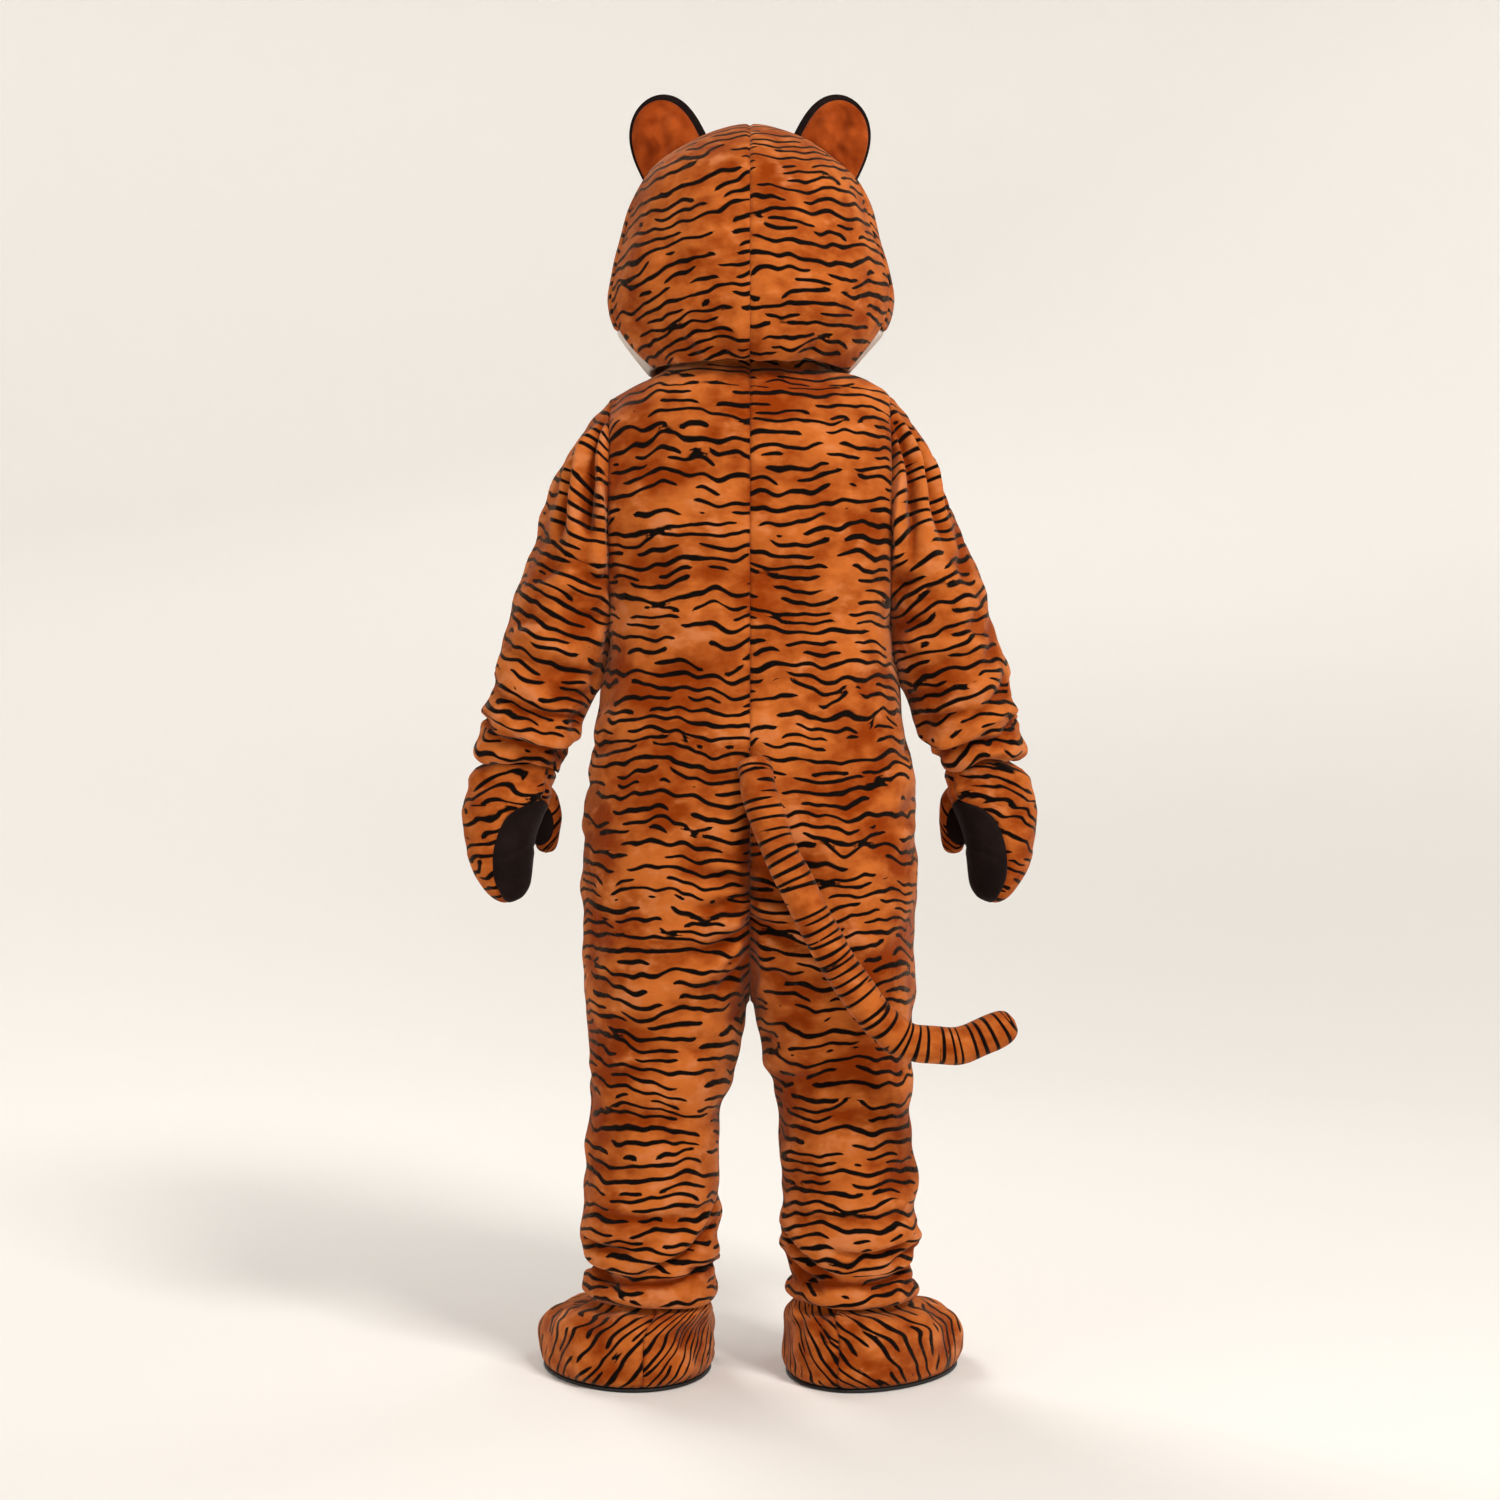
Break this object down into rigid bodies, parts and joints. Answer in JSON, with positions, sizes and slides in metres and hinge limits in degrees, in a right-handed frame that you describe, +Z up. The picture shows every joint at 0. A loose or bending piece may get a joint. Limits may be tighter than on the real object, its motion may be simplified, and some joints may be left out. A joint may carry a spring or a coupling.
{
  "type": "tiger mascot costume",
  "caption": "Full-body plush tiger costume in its worn shape: hollow head, striped suit with a tail, mitts and shoe covers.",
  "frame": {"origin": "in the middle between the shoulders at the base of the neck, 1.45 m above the soles, where the wearer carries the costume", "axes": "+Z up, -Y the way the costume faces, +X towards its own left hand"},
  "size_m": [0.8478, 0.4806, 1.8957],
  "materials": {
    "striped_plush": "short velvety plush, mottled burnt orange to tan with thin wavy black stripes",
    "orange_plush": "short velvety plush, plain orange",
    "pale_plush": "short velvety plush, cream",
    "black_plush": "smooth short plush, black",
    "sight_mesh": "dark open mesh to see through",
    "sole_rubber": "matt black sole sheet"
  },
  "bodies": {
    "root": {"ear_back_left": "orange_plush", "ear_back_right": "orange_plush", "ear_front_left": "black_plush", "ear_front_right": "black_plush", "eye_left": "sight_mesh", "eye_right": "sight_mesh", "head_back_left": "striped_plush", "head_back_right": "striped_plush", "head_brow": "striped_plush", "head_face": "pale_plush", "mitt_palm_left": "black_plush", "mitt_palm_right": "black_plush", "mitt_shell_left": "striped_plush", "mitt_shell_right": "striped_plush", "nose": "black_plush", "shoe_inner_left": "striped_plush", "shoe_inner_right": "striped_plush", "shoe_outer_left": "striped_plush", "shoe_outer_right": "striped_plush", "sleeve_left": "striped_plush", "sleeve_right": "striped_plush", "sole_left": "sole_rubber", "sole_right": "sole_rubber", "suit_back_left": "striped_plush", "suit_back_right": "striped_plush", "suit_front_left": "striped_plush", "suit_front_right": "striped_plush", "tail": "striped_plush", "thumb_left": "striped_plush", "thumb_pad_left": "black_plush", "thumb_pad_right": "black_plush", "thumb_right": "striped_plush"}
  },
  "joints": []
}
